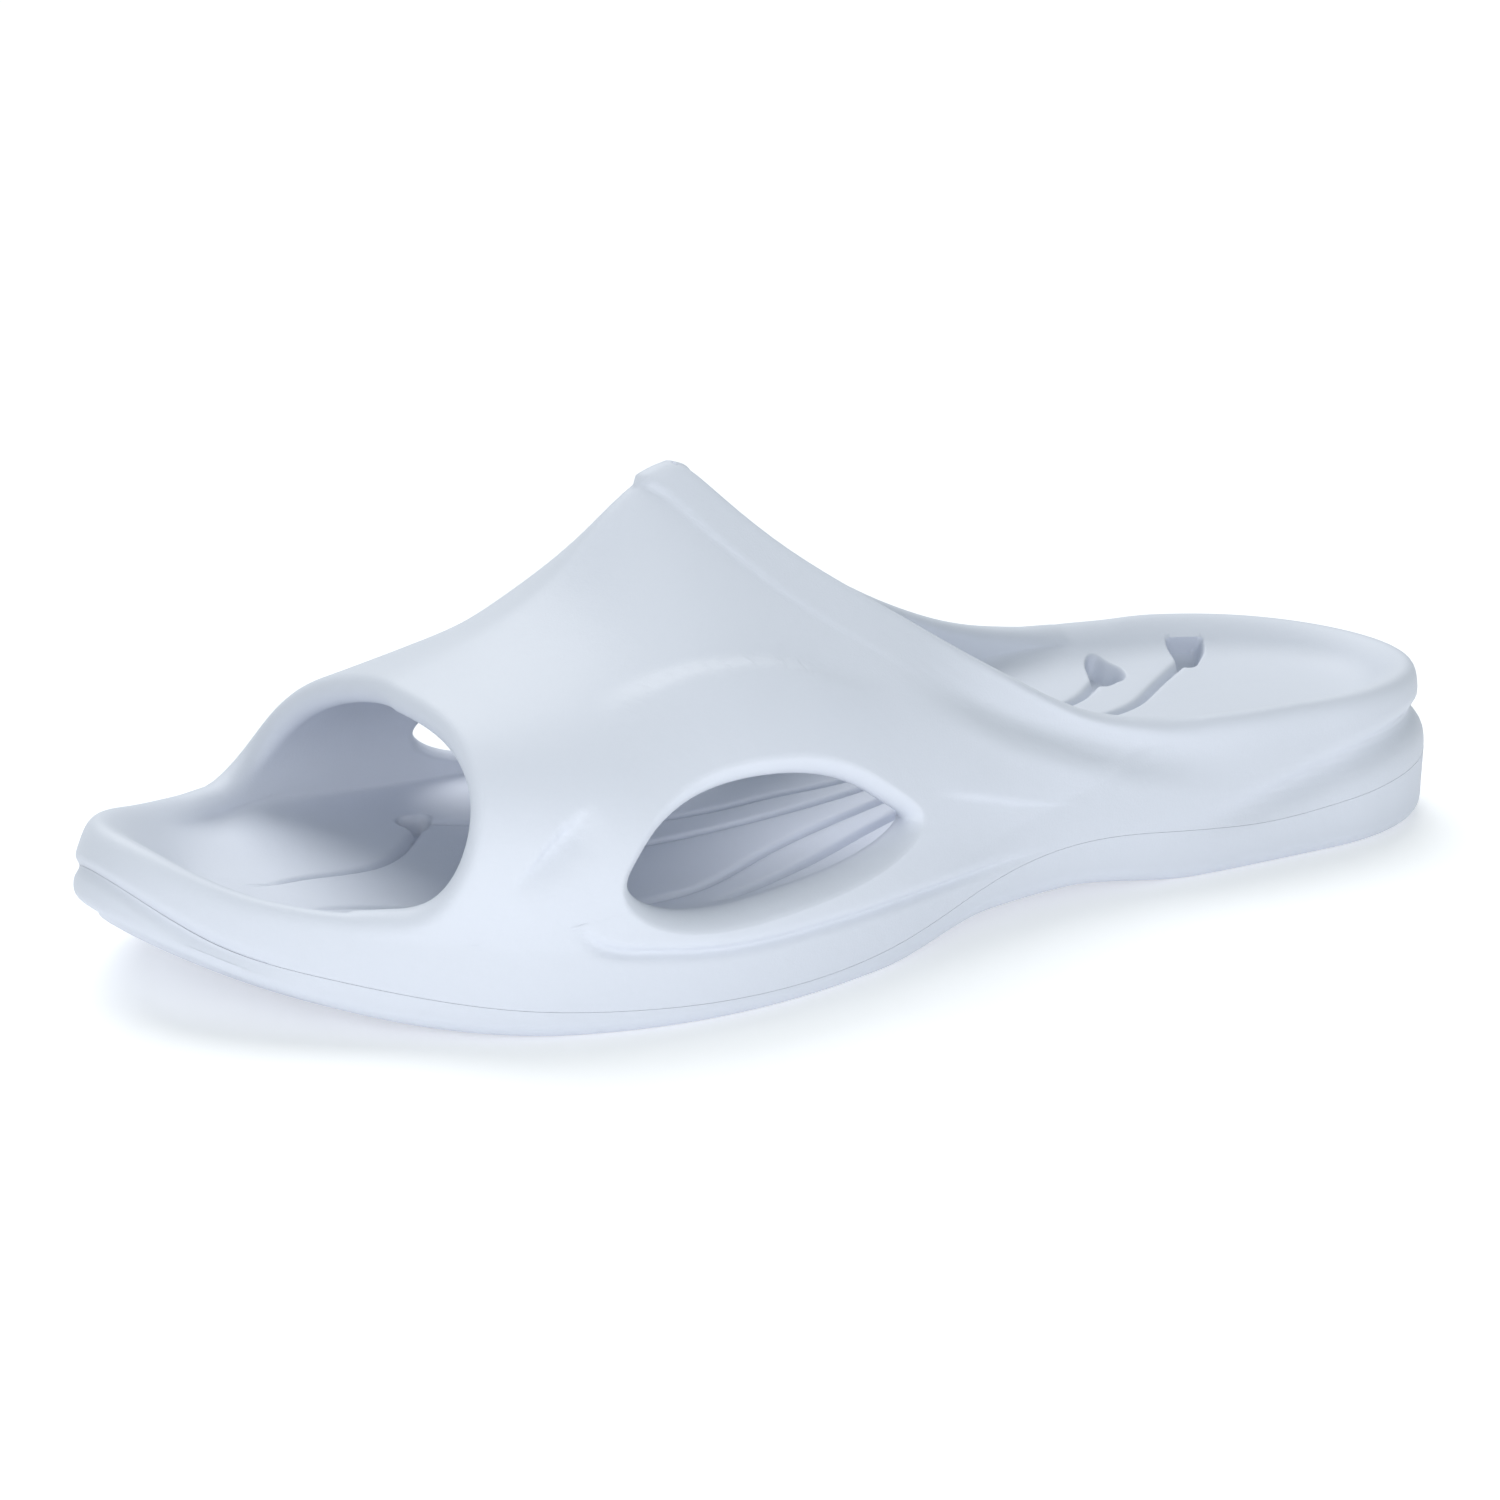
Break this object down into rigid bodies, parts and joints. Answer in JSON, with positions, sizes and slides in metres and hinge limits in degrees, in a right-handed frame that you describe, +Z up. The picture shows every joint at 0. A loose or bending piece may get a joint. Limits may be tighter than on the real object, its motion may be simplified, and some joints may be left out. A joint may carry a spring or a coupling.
{
  "type": "slide sandal",
  "caption": "Left slide sandal moulded in soft foam, with a peaked strap over the instep, open toe and heel, and a window in each side.",
  "frame": {"origin": "middle of the bounding box, on the floor the slide stands on", "axes": "+X from heel to toe, +Y to the wearer's left (outer side), +Z up"},
  "size_m": [0.285, 0.1064, 0.0819],
  "materials": {
    "upper_foam": "matte moulded foam, pale ice blue",
    "sole_foam": "matte moulded foam, pale ice blue"
  },
  "bodies": {
    "root": {"upper_footbed": "upper_foam", "outsole": "sole_foam"}
  },
  "joints": []
}
